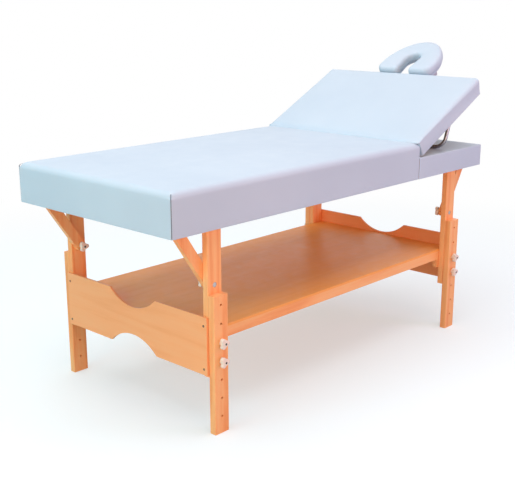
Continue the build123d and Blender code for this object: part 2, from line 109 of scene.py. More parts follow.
# Shared effects
def newGroup(name, inputs, outputs):
    group = bpy.data.node_groups.new(name, "ShaderNodeTree")
    for label, kind, value in inputs:
        socket = group.interface.new_socket(name=label, in_out="INPUT", socket_type=kind)
        if value is not None:
            socket.default_value = value
    for label, kind in outputs:
        group.interface.new_socket(name=label, in_out="OUTPUT", socket_type=kind)
    start = group.nodes.new("NodeGroupInput")
    end = group.nodes.new("NodeGroupOutput")
    return group, start, end


def put(tree, kind, values=None, **links):
    node = tree.nodes.new(kind)
    for key, value in (values or {}).items():
        if key in node.inputs:
            node.inputs[key].default_value = value
        else:
            setattr(node, key, value)
    for key, source in links.items():
        tree.links.new(source, node.inputs[key.replace("_", " ")])
    return node


def ramp(tree, source, stops):
    node = tree.nodes.new("ShaderNodeValToRGB")
    bar = node.color_ramp.elements
    bar[0].position, bar[0].color = stops[0]
    bar[1].position, bar[1].color = stops[-1]
    for position, colour in stops[1:-1]:
        bar.new(position).color = colour
    tree.links.new(source, node.inputs["Fac"])
    return node.outputs["Color"]


def grey(value):
    return (value, value, value, 1)


def makeWoodGrain():
    group, start, end = newGroup(
        "woodGrain",
        [
            ("Vector", "NodeSocketVector", None),
            ("Streaks", "NodeSocketFloat", 60.0),
            ("Waves", "NodeSocketFloat", 7.0),
        ],
        [("Figure", "NodeSocketFloat"), ("Pores", "NodeSocketFloat")],
    )
    place = start.outputs["Vector"]
    coarseLook = {"Detail": 3.0, "Roughness": 0.55, "Distortion": 0.6}
    coarse = put(group, "ShaderNodeTexNoise", coarseLook, Vector=place)
    group.links.new(start.outputs["Waves"], coarse.inputs["Scale"])
    fineLook = {"Detail": 6.0, "Roughness": 0.7, "Distortion": 0.2}
    fine = put(group, "ShaderNodeTexNoise", fineLook, Vector=place)
    group.links.new(start.outputs["Streaks"], fine.inputs["Scale"])
    bands = put(group, "ShaderNodeMath", {"operation": "MULTIPLY"})
    group.links.new(coarse.outputs["Fac"], bands.inputs[0])
    bands.inputs[1].default_value = 34.0  # how many rings a change in the noise makes
    rings = put(group, "ShaderNodeMath", {"operation": "SINE"})
    group.links.new(bands.outputs[0], rings.inputs[0])
    half = put(group, "ShaderNodeMath", {"operation": "MULTIPLY_ADD"})
    group.links.new(rings.outputs[0], half.inputs[0])
    half.inputs[1].default_value = 0.16
    half.inputs[2].default_value = 0.0
    total = put(group, "ShaderNodeMath", {"operation": "ADD"})
    group.links.new(half.outputs[0], total.inputs[0])
    group.links.new(fine.outputs["Fac"], total.inputs[1])
    group.links.new(total.outputs[0], end.inputs["Figure"])
    pores = ramp(group, fine.outputs["Fac"], [(0.30, grey(1)), (0.42, grey(0))])
    group.links.new(pores, end.inputs["Pores"])
    return group


def makeVinylSkin():
    group, start, end = newGroup(
        "vinylSkin",
        [("Vector", "NodeSocketVector", None), ("Grain", "NodeSocketFloat", 900.0)],
        [("Height", "NodeSocketFloat"), ("Cloud", "NodeSocketFloat")],
    )
    cells = put(group, "ShaderNodeTexVoronoi", {"feature": "F1"}, Vector=start.outputs["Vector"])
    group.links.new(start.outputs["Grain"], cells.inputs["Scale"])
    soft = put(group, "ShaderNodeTexNoise", {"Scale": 260.0, "Detail": 3.0}, Vector=start.outputs["Vector"])
    cloud = put(group, "ShaderNodeTexNoise", {"Scale": 3.2, "Detail": 2.0}, Vector=start.outputs["Vector"])
    both = put(group, "ShaderNodeMath", {"operation": "ADD"})
    group.links.new(cells.outputs["Distance"], both.inputs[0])
    group.links.new(soft.outputs["Fac"], both.inputs[1])
    group.links.new(both.outputs[0], end.inputs["Height"])
    group.links.new(cloud.outputs["Fac"], end.inputs["Cloud"])
    return group


def makeFineWear():
    group, start, end = newGroup(
        "fineWear",
        [
            ("Vector", "NodeSocketVector", None),
            ("Scale", "NodeSocketFloat", 40.0),
            ("Low", "NodeSocketFloat", 0.3),
            ("High", "NodeSocketFloat", 0.5),
        ],
        [("Roughness", "NodeSocketFloat"), ("Height", "NodeSocketFloat")],
    )
    noise = put(group, "ShaderNodeTexNoise", {"Detail": 4.0, "Roughness": 0.6}, Vector=start.outputs["Vector"])
    group.links.new(start.outputs["Scale"], noise.inputs["Scale"])
    spread = put(group, "ShaderNodeMapRange", {"From Min": 0.3, "From Max": 0.7}, Value=noise.outputs["Fac"])
    group.links.new(start.outputs["Low"], spread.inputs["To Min"])
    group.links.new(start.outputs["High"], spread.inputs["To Max"])
    group.links.new(spread.outputs[0], end.inputs["Roughness"])
    group.links.new(noise.outputs["Fac"], end.inputs["Height"])
    return group


woodGrain = makeWoodGrain()
vinylSkin = makeVinylSkin()
fineWear = makeFineWear()


# Materials
def startMaterial(name):
    material = bpy.data.materials.new(name)
    material.use_nodes = True
    tree = material.node_tree
    shader = tree.nodes["Principled BSDF"]
    place = tree.nodes.new("ShaderNodeTexCoord").outputs["Object"]
    return material, tree, shader, place


def addGroup(tree, group, values, vector):
    node = tree.nodes.new("ShaderNodeGroup")
    node.node_tree = group
    for key, value in values.items():
        node.inputs[key].default_value = value
    tree.links.new(vector, node.inputs["Vector"])
    return node


def bumpFrom(tree, shader, height, strength, distance):
    bump = put(tree, "ShaderNodeBump", {"Strength": strength, "Distance": distance}, Height=height)
    tree.links.new(bump.outputs["Normal"], shader.inputs["Normal"])


woodSheen = {
    "alongGrain": 0.06,
    "wearScale": 26.0,
    "glossSpread": 0.07,
    "poreStrength": 0.25,
    "poreDepth": 0.0004,
    "specular": 0.3,
    "coat": 0.05,
    "coatRoughness": 0.25,
}


def woodMaterial(name, colours, along, settings):
    light, middle, dark = colours
    material, tree, shader, place = startMaterial(name)
    stretch = [woodSheen["alongGrain"] if axis == along else 1 for axis in "xyz"]
    mapped = put(tree, "ShaderNodeMapping", {"Scale": stretch}, Vector=place)
    figure = {"Streaks": settings["streaks"], "Waves": settings["waves"]}
    grain = addGroup(tree, woodGrain, figure, mapped.outputs[0])
    colour = ramp(tree, grain.outputs["Figure"], [(0.28, dark), (0.5, middle), (0.72, light)])
    if "edge" in settings:  # the glued layers that show on the sawn edges of a board
        axis, layer = settings["edge"]
        pick = put(tree, "ShaderNodeSeparateXYZ", Vector=place)
        stripes = put(tree, "ShaderNodeMath", {"operation": "PINGPONG"})
        tree.links.new(pick.outputs[axis], stripes.inputs[0])
        stripes.inputs[1].default_value = layer
        level = put(tree, "ShaderNodeMath", {"operation": "DIVIDE"})
        tree.links.new(stripes.outputs[0], level.inputs[0])
        level.inputs[1].default_value = layer
        layers = ramp(tree, level.outputs[0], [(0.35, grey(0)), (0.6, grey(1))])
        surface = tree.nodes.new("ShaderNodeNewGeometry")
        normal = put(tree, "ShaderNodeSeparateXYZ", Vector=surface.outputs["Normal"])
        facing = put(tree, "ShaderNodeMath", {"operation": "ABSOLUTE"})
        tree.links.new(normal.outputs[axis], facing.inputs[0])
        side = ramp(tree, facing.outputs[0], [(0.3, grey(1)), (0.6, grey(0))])
        mask = put(tree, "ShaderNodeMath", {"operation": "MULTIPLY"})
        tree.links.new(layers, mask.inputs[0])
        tree.links.new(side, mask.inputs[1])
        blend = put(tree, "ShaderNodeMix", {"data_type": "RGBA"})
        tree.links.new(mask.outputs[0], blend.inputs["Factor"])
        tree.links.new(colour, blend.inputs["A"])
        blend.inputs["B"].default_value = dark
        colour = blend.outputs["Result"]
    tree.links.new(colour, shader.inputs["Base Color"])
    low = settings["gloss"] - woodSheen["glossSpread"]
    high = settings["gloss"] + woodSheen["glossSpread"]
    wear = addGroup(tree, fineWear, {"Scale": woodSheen["wearScale"], "Low": low, "High": high}, place)
    tree.links.new(wear.outputs["Roughness"], shader.inputs["Roughness"])
    bumpFrom(tree, shader, grain.outputs["Pores"], woodSheen["poreStrength"], woodSheen["poreDepth"])
    shader.inputs["Specular IOR Level"].default_value = woodSheen["specular"]
    shader.inputs["Coat Weight"].default_value = woodSheen["coat"]
    shader.inputs["Coat Roughness"].default_value = woodSheen["coatRoughness"]
    return material


vinylSheen = {
    "grain": 850.0,
    "wear": {"Scale": 14.0, "Low": 0.42, "High": 0.54},
    "bump": 0.12,
    "bumpDepth": 0.0005,
    "specular": 0.35,
}


def vinylMaterial(name, pale, deep):
    material, tree, shader, place = startMaterial(name)
    skin = addGroup(tree, vinylSkin, {"Grain": vinylSheen["grain"]}, place)
    colour = ramp(tree, skin.outputs["Cloud"], [(0.3, deep), (0.7, pale)])
    tree.links.new(colour, shader.inputs["Base Color"])
    wear = addGroup(tree, fineWear, vinylSheen["wear"], place)
    tree.links.new(wear.outputs["Roughness"], shader.inputs["Roughness"])
    bumpFrom(tree, shader, skin.outputs["Height"], vinylSheen["bump"], vinylSheen["bumpDepth"])
    shader.inputs["Specular IOR Level"].default_value = vinylSheen["specular"]
    return material


def plainMaterial(name, colour, metallic, gloss, scale, bump, vary):
    material, tree, shader, place = startMaterial(name)
    wear = addGroup(tree, fineWear, {"Scale": scale, "Low": gloss - 0.06, "High": gloss + 0.06}, place)
    dark = tuple(c * (1 - vary) for c in colour[:3]) + (1,)
    tone = ramp(tree, wear.outputs["Height"], [(0.3, dark), (0.7, colour)])
    tree.links.new(tone, shader.inputs["Base Color"])
    tree.links.new(wear.outputs["Roughness"], shader.inputs["Roughness"])
    shader.inputs["Metallic"].default_value = metallic
    bumpFrom(tree, shader, wear.outputs["Height"], bump, 0.0003)
    return material


vinylColours = {"pale": (0.545, 0.66, 0.75, 1), "deep": (0.515, 0.63, 0.725, 1)}
# each wood has its light, middle and dark colour
woodColours = {
    "beech": ((1.0, 0.53, 0.22, 1), (1.0, 0.47, 0.18, 1), (0.94, 0.38, 0.13, 1)),
    "panel": ((1.0, 0.47, 0.205, 1), (1.0, 0.45, 0.19, 1), (0.97, 0.42, 0.17, 1)),
    # the shelf's copy of the plywood has less blue and a deeper orange: painted warm shade for its place under
    # the table
    "shelf": ((1.0, 0.44, 0.11, 1), (1.0, 0.43, 0.10, 1), (0.97, 0.41, 0.09, 1)),
    "under": ((0.70, 0.42, 0.24, 1), (0.60, 0.34, 0.18, 1), (0.45, 0.24, 0.12, 1)),
}
woodFigures = {
    "beech": {"streaks": 95.0, "waves": 9.0, "gloss": 0.36},
    "panel": {"streaks": 80.0, "waves": 6.0, "gloss": 0.38, "edge": ("X", 0.0013)},
    "shelf": {"streaks": 80.0, "waves": 5.0, "gloss": 0.40, "edge": ("Z", 0.0015)},
    "under": {"streaks": 60.0, "waves": 4.0, "gloss": 0.5},
}
# colour, metallic, gloss, size of the wear, its bump, and how far the colour darkens
plainLooks = {
    "screwMetal": ((0.30, 0.20, 0.13, 1), 0.8, 0.40, 140.0, 0.05, 0.15),
    "knobCream": ((0.90, 0.80, 0.68, 1), 0.0, 0.38, 90.0, 0.05, 0.05),
    "bailMetal": ((0.42, 0.43, 0.45, 1), 1.0, 0.32, 120.0, 0.02, 0.05),
    "seamThread": ((0.16, 0.19, 0.24, 1), 0.0, 0.6, 200.0, 0.1, 0.1),
    "blockPaint": ((0.50, 0.52, 0.60, 1), 0.0, 0.45, 70.0, 0.05, 0.06),
    "zincMetal": ((0.72, 0.70, 0.68, 1), 1.0, 0.30, 140.0, 0.05, 0.12),
    "darkMetal": ((0.10, 0.09, 0.09, 1), 0.8, 0.42, 140.0, 0.05, 0.2),
}
vinyl = vinylMaterial("upholsteryVinyl", vinylColours["pale"], vinylColours["deep"])
beech = {axis: woodMaterial("beech_" + axis, woodColours["beech"], axis, woodFigures["beech"]) for axis in "xyz"}
plyPanel = woodMaterial("plyPanel", woodColours["panel"], "y", woodFigures["panel"])
# the shelf's plywood, with painted warm shade in its colour
plyShelfPaintedShade = woodMaterial("plyShelfPaintedShade", woodColours["shelf"], "x", woodFigures["shelf"])
boardUnder = woodMaterial("boardUnder", woodColours["under"], "x", woodFigures["under"])
plain = {name: plainMaterial(name, *look) for name, look in plainLooks.items()}
print("materials made")


def dressNode(node, material):
    piece = nodes[node]
    piece.data.materials.clear()
    piece.data.materials.append(material)


# the first row whose words begin a node's name gives its material
nodeFinishes = [
    (("upper_leg", "lower_leg", "brace_foot", "brace_head"), beech["z"]),
    (("side_rail", "shelf_rail", "shelf_blocks"), beech["x"]),
    (("backrest_side", "brace_blocks", "bail_racks"), beech["x"]),
    (("end_rail", "cross_rails", "seam_batten"), beech["y"]),
    (("backrest_foot", "backrest_head"), beech["y"]),
    (("end_panel",), plyPanel),
    (("shelf_board",), plyShelfPaintedShade),
    (("cradle_board",), vinyl),
    (("deck_foot", "deck_head", "backrest_board"), boardUnder),
    (("cradle_blocks",), plain["blockPaint"]),
    (("leg_knob", "brace_knob"), plain["knobCream"]),
    (("support_bail",), plain["bailMetal"]),
    (("hinge_", "rod_clips", "cradle_rods"), plain["zincMetal"]),
    (("bail_saddles", "leg_bolts", "brace_bolts"), plain["zincMetal"]),
]
for node in nodes:
    for words, material in nodeFinishes:
        if node.startswith(words):
            dressNode(node, material)
            break


# Cushions
clothFeel = {"quality": 4, "stretch": 40, "bend": 4, "steps": 20}


def puff(piece, values, pinned):
    # blows the cover up a little with cloth, and keeps each point within cap of its start
    group = piece.vertex_groups.new(name="held")
    group.add([v.index for v in piece.data.vertices if pinned(v.co)], 1.0, "REPLACE")
    start = [v.co.copy() for v in piece.data.vertices]
    cloth = piece.modifiers.new("Cloth", "CLOTH")
    cloth.settings.quality = clothFeel["quality"]
    cloth.settings.use_pressure = True
    cloth.settings.uniform_pressure_force = values["pressure"]
    cloth.settings.effector_weights.gravity = 0
    cloth.settings.vertex_group_mass = "held"
    cloth.settings.tension_stiffness = clothFeel["stretch"]
    cloth.settings.compression_stiffness = clothFeel["stretch"]
    cloth.settings.bending_stiffness = clothFeel["bend"]
    cloth.collision_settings.use_collision = False
    scene = bpy.context.scene
    for step in range(clothFeel["steps"]):
        scene.frame_set(step + 1)
    applyModifiers(piece)
    scene.frame_set(1)
    cap = values["cap"]
    for v, old in zip(piece.data.vertices, start):
        move = v.co - old
        if move.length > cap:
            v.co = old + move * (cap / move.length)
    piece.vertex_groups.clear()


def roundedBlock(name, low, high, roundings, steps):
    # each rounding is a test that picks edges, and a radius
    middle = [(a + b) / 2 for a, b in zip(low, high)]
    deselect()
    bpy.ops.mesh.primitive_cube_add(size=1, location=middle)
    piece = bpy.context.object
    piece.name = name
    piece.scale = [b - a for a, b in zip(low, high)]
    settle(piece)
    for test, radius in roundings:
        selectWhere(piece, test, "EDGE")
        bpy.ops.mesh.bevel(offset=radius, segments=steps, profile=0.5, affect="EDGES")
        endEdit()
    return piece


def isUpright(edge):
    a, b = edge.verts
    return abs((a.co - b.co).normalized().z) > 0.9


def spread(start, end, step):
    count = max(1, round((end - start) / step))
    return [start + (end - start) * i / count for i in range(1, count)]


def cutGrid(piece, cuts):
    # cuts is one list of places for each axis
    activate(piece)
    bpy.ops.object.mode_set(mode="EDIT")
    for axis, places in enumerate(cuts):
        direction = [float(axis == i) for i in range(3)]
        for place in places:
            bpy.ops.mesh.select_all(action="SELECT")
            bpy.ops.mesh.bisect(plane_co=[place * d for d in direction], plane_no=direction)
    endEdit()


def crownMove(piece, low, high, values):
    # lifts the top towards its middle and draws the sides in between the corners
    mx, my = (low[0] + high[0]) / 2, (low[1] + high[1]) / 2
    hx, hy = (high[0] - low[0]) / 2, (high[1] - low[1]) / 2
    for v in piece.data.vertices:
        px = min(1.0, abs(v.co.x - mx) / hx)
        py = min(1.0, abs(v.co.y - my) / hy)
        height = max(0.0, (v.co.z - low[2]) / (high[2] - low[2]))
        v.co.z += values["crown"] * (1 - px ** 6) * (1 - py ** 6) * min(1.0, height ** 6)
        waist = math.sin(math.pi * min(1.0, height)) * (1 - px ** 2)
        v.co.y -= math.copysign(values["waist"] * waist * py ** 8, v.co.y - my)


def cornerSeam(piece, corner, inward, radius, values):
    # presses the sewn seam into a rounded corner, and the cover beside it less and less
    centre = Vector((corner.x + inward[0] * radius, corner.y + inward[1] * radius))
    diagonal = Vector((-inward[0], -inward[1])).normalized()
    for v in piece.data.vertices:
        offset = Vector((v.co.x, v.co.y)) - centre
        if offset.length < radius * 0.5 or offset.dot(diagonal) < offset.length * 0.70:
            continue
        swing = math.degrees(math.acos(max(-1.0, min(1.0, offset.normalized().dot(diagonal)))))
        depth = values["seamDepth"] * math.exp(-((swing / 16) ** 2))
        v.co.x -= diagonal.x * depth
        v.co.y -= diagonal.y * depth


def openShell(piece, isOpen, thickness):
    # takes the hidden faces away and gives the cover its thickness inwards
    selectWhere(piece, isOpen, "FACE")
    bpy.ops.mesh.delete(type="FACE")
    endEdit()
    wall = piece.modifiers.new("Wall", "SOLIDIFY")
    wall.thickness = thickness
    wall.offset = -1
    applyModifiers(piece)


def isUnderside(face, limit):
    return face.normal.z < -0.9 and face.calc_center_median().z < limit


def refine(piece, levels):
    finer = piece.modifiers.new("Finer", "SUBSURF")
    finer.levels = levels
    finer.render_levels = levels
    applyModifiers(piece)


joints = {joint["name"]: joint for joint in frame["joints"]}
hinge = Vector(joints["backrest_tilt"]["pos_m"])
tiltAngle = math.radians(27)
tilt = Matrix.Translation(hinge) @ Matrix.Rotation(-tiltAngle, 4, "Y")
hair = 0.00001  # how far a point may stand off a plane and still lie on it
touch = 0.001
hem = 0.006  # the height of the cover's lower hem, which is nailed down

footPad = {
    "rim": 0.024,
    "seam": 0.009,
    "corner": 0.005,
    "proud": 0.001,
    "crown": 0.0035,
    "waist": 0.0012,
    "inset": 0.0012,
    "sunk": 0.004,  # the block's top below the cushion's, for the crown and the puff
    "grid": 0.026,
    "margin": 0.04,
    "tight": 0.003,
    "held": 0.002,
    "seamDepth": 0.0016,
    "pressure": 3.0,
    "cap": 0.0022,
    "cover": 0.0034,
}


def makeFootPad():
    v = footPad
    low, high = sizeOf("foot_cushion")
    a = Vector((low.x + v["inset"], low.y + v["inset"], low.z))
    b = Vector((high.x + v["proud"], high.y - v["inset"], high.z - v["sunk"]))
    footEnd = lambda e: all(p.co.x < a.x + touch for p in e.verts)
    top = lambda e: all(p.co.z > b.z - hair for p in e.verts)
    atSeam = lambda e: top(e) and all(p.co.x > b.x - hair for p in e.verts)
    roundings = [
        (lambda e: top(e) and not atSeam(e), v["rim"]),
        (atSeam, v["seam"]),
        (lambda e: isUpright(e) and footEnd(e), v["corner"]),
    ]
    piece = roundedBlock("foot_pad", a, b, roundings, 8)
    t = v["tight"]
    m = v["margin"]
    across = [a.x + v["rim"] + t] + spread(a.x + m, b.x - m, v["grid"]) + [b.x - v["rim"] - t, b.x - t]
    side = [a.y + v["rim"] + t] + spread(a.y + m, b.y - m, v["grid"]) + [b.y - v["rim"] - t]
    rise = [a.z + t] + spread(a.z + t, b.z - v["rim"] - t, v["grid"])
    cutGrid(piece, (across, side, rise))
    crownMove(piece, a, b, v)
    puff(piece, v, lambda co: co.z < a.z + hem or co.x > b.x - v["held"])
    for way in (1, -1):
        cornerSeam(piece, Vector((a.x, a.y if way > 0 else b.y)), (1, way), v["corner"], v)
    openShell(piece, lambda face: isUnderside(face, a.z + touch), v["cover"])
    refine(piece, 1)
    return piece


seamCord = {"radius": 0.0014, "depth": 0.0022, "above": 0.004, "below": 0.72, "reach": 0.16, "bends": 3}


def makeSeamCord():
    # the stitched seam down each foot corner, bending inwards where the top turns over
    v = seamCord
    low, high = sizeOf("foot_cushion")
    sunk = footPad["inset"] + v["depth"]
    top = high.z - footPad["rim"] * v["below"]
    tall = top - low.z - v["above"]
    place = (low.x + sunk, low.y + sunk, low.z + v["above"] + tall / 2)
    deselect()
    bpy.ops.mesh.primitive_cylinder_add(vertices=8, radius=v["radius"], depth=tall, location=place)
    cord = bpy.context.object
    cord.name = "seam_cord"
    settle(cord)
    selectWhere(cord, lambda f: f.normal.z > 0.9, "FACE")
    reach = footPad["rim"] * v["reach"]
    for step in range(v["bends"]):
        inwards = reach * (0.5 + 0.3 * step)
        upwards = reach * (1.0 - 0.3 * step)
        bpy.ops.mesh.extrude_region_move(TRANSFORM_OT_translate={"value": (inwards, inwards, upwards)})
    bpy.ops.mesh.bevel(offset=v["radius"] * 0.4, segments=2)
    endEdit()
    other = cord.copy()
    other.data = cord.data.copy()
    bpy.context.scene.collection.objects.link(other)
    for point in other.data.vertices:
        point.co.y = -point.co.y
    activate(other)
    bpy.ops.object.mode_set(mode="EDIT")
    bpy.ops.mesh.select_all(action="SELECT")
    bpy.ops.mesh.flip_normals()
    endEdit()
    activate(cord)
    other.select_set(True)
    bpy.ops.object.join()
    return cord


piece = makeFootPad()
finishPiece(piece, vinyl, "table", 50)
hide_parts("foot_cushion")
finishPiece(makeSeamCord(), plain["seamThread"], "table")
print("foot cushion made", len(piece.data.polygons))


backPad = {
    "start": 0.001,
    "end": 0.500,
    "lean": 0.0205,
    "under": -0.0405,
    "edge": 0.025,
    "rim": 0.020,
    "seam": 0.009,
    "headRim": 0.008,
    "crown": 0.0035,
    "waist": 0.0012,
    "inset": 0.0012,
    "grid": 0.024,
    "rise": 0.012,
    "footMargin": 0.03,
    "headMargin": 0.02,
    "leanFrom": 0.05,
    "leanOver": 0.036,
    "tight": 0.003,
    "held": 0.002,
    "seamDepth": 0.0016,
    "pressure": 3.0,
    "cap": 0.0022,
    "cover": 0.0034,
}


def makeBackPad():
    # shaped lying flat about the hinge axis, then turned up to the raised place
    v = backPad
    half = sizeOf("backrest_cushion")[1].y
    a = Vector((v["start"], -half + v["inset"], v["under"]))
    b = Vector((v["end"] - v["inset"], half - v["inset"], v["edge"]))
    headEnd = lambda e: all(p.co.x > b.x - hair for p in e.verts)
    top = lambda e: all(p.co.z > b.z - hair for p in e.verts)
    under = lambda e: all(p.co.z < a.z + hair for p in e.verts)
    atSeam = lambda e: top(e) and all(p.co.x < a.x + hair for p in e.verts)
    roundings = [
        (atSeam, v["seam"]),
        (lambda e: top(e) and not atSeam(e) and not headEnd(e), v["rim"]),
        (lambda e: headEnd(e) and not under(e), v["headRim"]),
    ]
    piece = roundedBlock("backrest_pad", a, b, roundings, 8)
    t = v["tight"]
    m = v["footMargin"]
    middle = spread(a.x + m, b.x - v["headMargin"], v["grid"])
    across = [a.x + t, a.x + v["rim"] + t] + middle + [b.x - v["headRim"] - t]
    side = [a.y + v["rim"] + t] + spread(a.y + m, b.y - m, v["grid"]) + [b.y - v["rim"] - t]
    rise = [a.z + t] + spread(a.z + t, b.z - v["rim"] - t, v["rise"])
    cutGrid(piece, (across, side, rise))
    crownMove(piece, a, b, v)
    puff(piece, v, lambda co: co.z < a.z + hem or co.x < a.x + v["held"])
    for way in (1, -1):
        cornerSeam(piece, Vector((b.x, a.y if way > 0 else b.y)), (-1, way), v["headRim"], v)
    for point in piece.data.vertices:
        near = min(1.0, max(0.0, (point.co.x - b.x + v["leanFrom"]) / v["leanOver"]))
        drop = min(1.0, max(0.0, (b.z - point.co.z) / (b.z - a.z)))
        point.co.x -= v["lean"] * drop * near
    openShell(piece, lambda face: isUnderside(face, a.z + touch), v["cover"])
    refine(piece, 1)
    piece.matrix_world = tilt
    return piece


piece = makeBackPad()
finishPiece(piece, vinyl, "backrest", 50)
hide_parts("backrest_cushion")
print("backrest cushion made", len(piece.data.polygons))


headCover = {"corner": 0.009, "rim": 0.004, "wall": 0.0017, "inset": 0.0004, "seamDepth": 0.0007}


def makeHeadCover():
    v = headCover
    a, b = sizeOf("head_cover")
    b = b - Vector((v["inset"], 0, 0))
    top = lambda e: all(p.co.z > b.z - hair for p in e.verts)
    headEnd = lambda e: all(p.co.x > b.x - 0.02 for p in e.verts)
    foot = lambda e: all(p.co.x < a.x + hair for p in e.verts)
    roundings = [
        (lambda e: isUpright(e) and headEnd(e), v["corner"]),
        (lambda e: top(e) and not foot(e), v["rim"]),
    ]
    piece = roundedBlock("head_deck_cover", a, b, roundings, 6)
    for way in (1, -1):
        cornerSeam(piece, Vector((b.x, a.y if way > 0 else b.y)), (-1, way), v["corner"], v)
    openShell(piece, lambda face: face.normal.z < -0.7 or face.normal.x < -0.9, v["wall"])
    return piece


piece = makeHeadCover()
finishPiece(piece, vinyl, "table", 40)
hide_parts("head_cover")
print("head cover made")


cradlePad = {"merge": 0.0001, "voxel": 0.006, "pressure": 4.0, "cap": 0.003, "smoothing": 6}


def makeCradlePad():
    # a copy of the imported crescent, merged, remeshed fine and puffed
    v = cradlePad
    source = nodes["cradle_cushion"]
    piece = source.copy()
    piece.data = source.data.copy()
    for key in list(piece.keys()):
        del piece[key]
    piece.parent = None
    piece.matrix_world = Matrix.Identity(4)
    bpy.context.scene.collection.objects.link(piece)
    piece.name = "cradle_pad"
    activate(piece)
    bpy.ops.object.mode_set(mode="EDIT")
    bpy.ops.mesh.select_all(action="SELECT")
    bpy.ops.mesh.remove_doubles(threshold=v["merge"])
    endEdit()
    grid = piece.modifiers.new("Remesh", "REMESH")
    grid.mode = "VOXEL"
    grid.voxel_size = v["voxel"]
    applyModifiers(piece)
    smooth = piece.modifiers.new("Even", "SMOOTH")
    smooth.factor = 0.5
    smooth.iterations = v["smoothing"]
    applyModifiers(piece)
    back = tilt.inverted()
    floorLevel = min((back @ p.co).z for p in piece.data.vertices)
    puff(piece, v, lambda co: (back @ co).z < floorLevel + hem)
    refine(piece, 1)
    return piece


piece = makeCradlePad()
finishPiece(piece, vinyl, "cradle", 60)
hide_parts("cradle_cushion")
print("cradle cushion made", len(piece.data.polygons))


# Small fasteners
def facing(place, direction):
    # puts a piece made about the Z axis at place, its top along direction
    turned = Vector(direction).to_track_quat("Z", "Y").to_matrix().to_4x4()
    return Matrix.Translation(place) @ turned


panelScrews = {"radius": 0.0042, "rise": 0.0011, "fromEnd": 0.015, "heights": (0.227, 0.378), "slot": 0.0012}


def makeScrew(name, place, direction):
    # a low domed head with a cross cut, its face along direction
    v = panelScrews
    deselect()
    bpy.ops.mesh.primitive_cylinder_add(vertices=32, radius=v["radius"], depth=v["rise"] * 2)
    piece = bpy.context.object
    piece.name = name
    selectWhere(piece, lambda e: all(p.co.z > v["rise"] * 0.9 for p in e.verts), "EDGE")
    bpy.ops.mesh.bevel(offset=v["rise"] * 0.9, segments=4, profile=0.6, affect="EDGES")
    endEdit()
    cutters = []
    for turn in (0, 90):
        deselect()
        bpy.ops.mesh.primitive_cube_add(size=1, location=(0, 0, v["rise"]))
        cutter = bpy.context.object
        cutter.scale = (v["radius"] * 1.1, v["slot"], v["rise"])
        cutter.rotation_euler = (0, 0, math.radians(turn))
        settle(cutter)
        cutters.append(cutter)
    for cutter in cutters:
        cross = piece.modifiers.new("Cross", "BOOLEAN")
        cross.operation = "DIFFERENCE"
        cross.object = cutter
    applyModifiers(piece)
    for cutter in cutters:
        bpy.data.objects.remove(cutter, do_unlink=True)
    piece.matrix_world = facing(place, direction)
    return settle(piece)


def makePanelScrews():
    v = panelScrews
    for end, way in (("foot", -1), ("head", 1)):
        low, high = sizeOf("end_panel_" + end)
        face = low.x if way < 0 else high.x
        number = 0
        for y in (low.y + v["fromEnd"], high.y - v["fromEnd"]):
            for z in v["heights"]:
                number += 1
                screw = makeScrew("panel_screw_%s_%d" % (end, number), (face, y, z), (way, 0, 0))
                finishPiece(screw, plain["screwMetal"], "table", 30)


makePanelScrews()
print("panel screws made")


boltEnds = {"radius": 0.0041, "core": 0.0035, "reach": 0.0023, "sunk": 0.002, "rings": 3}


def makeBoltEnds():
    # the threaded end that shows in the middle of each knob
    v = boltEnds
    for node in [n for n in nodes if "knob" in n]:
        low, high = sizeOf(node)
        outward = math.copysign(1, (low.y + high.y) / 2)
        if node.startswith("brace"):
            outward = -outward
        joint = joints[node.replace("knob", "knob_turn")]
        centre = Vector(joint["pos_m"])
        face = high.y if outward > 0 else low.y
        if node.startswith("leg"):
            face -= outward * v["sunk"]
        deselect()
        bpy.ops.mesh.primitive_cylinder_add(vertices=28, radius=v["radius"], depth=v["reach"] * 2)
        piece = bpy.context.object
        piece.name = node.replace("knob", "bolt_end")
        step = v["reach"] / v["rings"]
        cutGrid(piece, ([], [], [step * (i + 0.5) for i in range(v["rings"])]))
        for point in piece.data.vertices:
            level = point.co.z / step
            if point.co.z > 0 and abs(level - round(level)) > 0.3:
                point.co.x *= v["core"] / v["radius"]
                point.co.y *= v["core"] / v["radius"]
        piece.matrix_world = facing((centre.x, face, centre.z), (0, outward, 0))
        finishPiece(piece, plain["darkMetal"], node, 30)


makeBoltEnds()
print("bolt ends made")


# Floor, light and camera
stageLight = {
    "world": 0.43,
    "floorColour": (0.50, 0.60, 0.62, 1),
    "floorLift": 0.44,
    "floorSize": 30,
    "floorDrop": 0.0005,
    "fadeFrom": 1.2,
    "fadeTo": 3.4,
}


